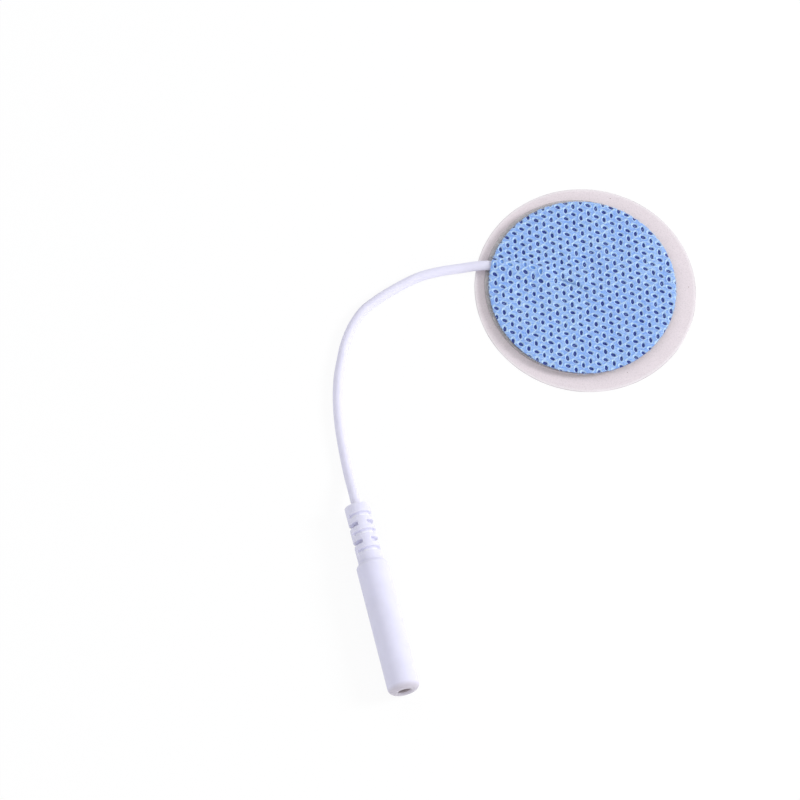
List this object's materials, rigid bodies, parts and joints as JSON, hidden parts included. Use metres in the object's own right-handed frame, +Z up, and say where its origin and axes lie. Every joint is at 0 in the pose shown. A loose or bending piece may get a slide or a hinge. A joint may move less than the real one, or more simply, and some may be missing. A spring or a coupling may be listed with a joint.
{
  "type": "tens electrode pad",
  "caption": "Round self-adhesive stimulation electrode: embossed blue fabric over carbon film and gel on a clear liner, with a short white lead ending in a moulded socket connector.",
  "frame": {"origin": "on the surface the pad lies on, under the centre of the round release liner", "axes": "+Z up through the pad from the liner to the fabric, +X across the pad with the lead leaving on the -X side, +Y away from the connector"},
  "size_m": [0.0591, 0.097, 0.0054],
  "materials": {
    "liner_film": "clear siliconised film, slightly hazy",
    "hydrogel": "clear wet gel",
    "carbon_film": "satin carbon-filled film",
    "blue_fabric": "soft point-bonded non-woven",
    "insulation": "satin soft insulation",
    "copper": "bare copper strands",
    "moulding": "satin white moulding",
    "contact_brass": "turned"
  },
  "bodies": {
    "root": {"release_liner": "liner_film", "hydrogel": "hydrogel", "carbon_film": "carbon_film", "fabric_backing": "blue_fabric", "lead_wire": "insulation", "lead_conductor": "copper", "connector_boot": "moulding", "socket_contact": "contact_brass"}
  },
  "joints": []
}
